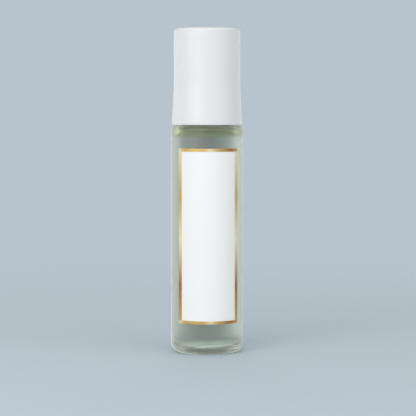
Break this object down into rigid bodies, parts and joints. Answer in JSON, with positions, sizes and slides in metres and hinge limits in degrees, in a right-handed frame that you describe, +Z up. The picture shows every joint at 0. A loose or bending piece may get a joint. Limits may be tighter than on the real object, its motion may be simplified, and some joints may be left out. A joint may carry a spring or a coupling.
{
  "type": "roll-on bottle",
  "caption": "Slim glass roll-on bottle with a threaded neck, a roller ball in a plug-in housing, a flared white screw cap and a blank gold-edged label.",
  "frame": {"origin": "middle of the bearing ring that the bottle stands on", "axes": "+Z up along the bottle's axis, the label faces -Y"},
  "size_m": [0.0192, 0.0194, 0.0858],
  "materials": {
    "glass": "thick clear glass with a faint green tint and a soft satin surface",
    "perfume": "clear pale green liquid",
    "ball_steel": "polished stainless steel",
    "housing_plastic": "natural polyethylene, slightly translucent",
    "seal_foam": "soft closed-cell polyethylene",
    "liner_plastic": "natural polypropylene",
    "cap_plastic": "smooth white polypropylene with a soft gloss",
    "label_paper": "white uncoated label paper",
    "gold_foil": "hot-stamped gold foil"
  },
  "bodies": {
    "bottle": {"glass_bottle": "glass", "perfume_fill": "perfume", "roller_housing": "housing_plastic", "label_stock": "label_paper", "label_foil_frame": "gold_foil"},
    "roller_ball": {"roller_ball": "ball_steel"},
    "seal": {"seal_disc": "seal_foam"},
    "cap": {"cap_liner": "liner_plastic", "cap_shell": "cap_plastic"}
  },
  "joints": [
    {"name": "cap_lift", "type": "slide", "parent": "bottle", "child": "seal", "axis": [0, 0, 1], "range_m": [0, 0.024]},
    {"name": "cap_turn", "type": "hinge", "parent": "seal", "child": "cap", "pos_m": [0, 0, 0.07], "axis": [0, 0, 1], "range_deg": [0, 3600]},
    {"name": "ball_roll", "type": "hinge", "parent": "bottle", "child": "roller_ball", "pos_m": [0, 0, 0.072], "axis": [1, 0, 0], "continuous": true}
  ],
  "couplings": [
    {"joint": "cap_lift", "follows": "cap_turn", "m_per_rad": 0.00038197}
  ]
}
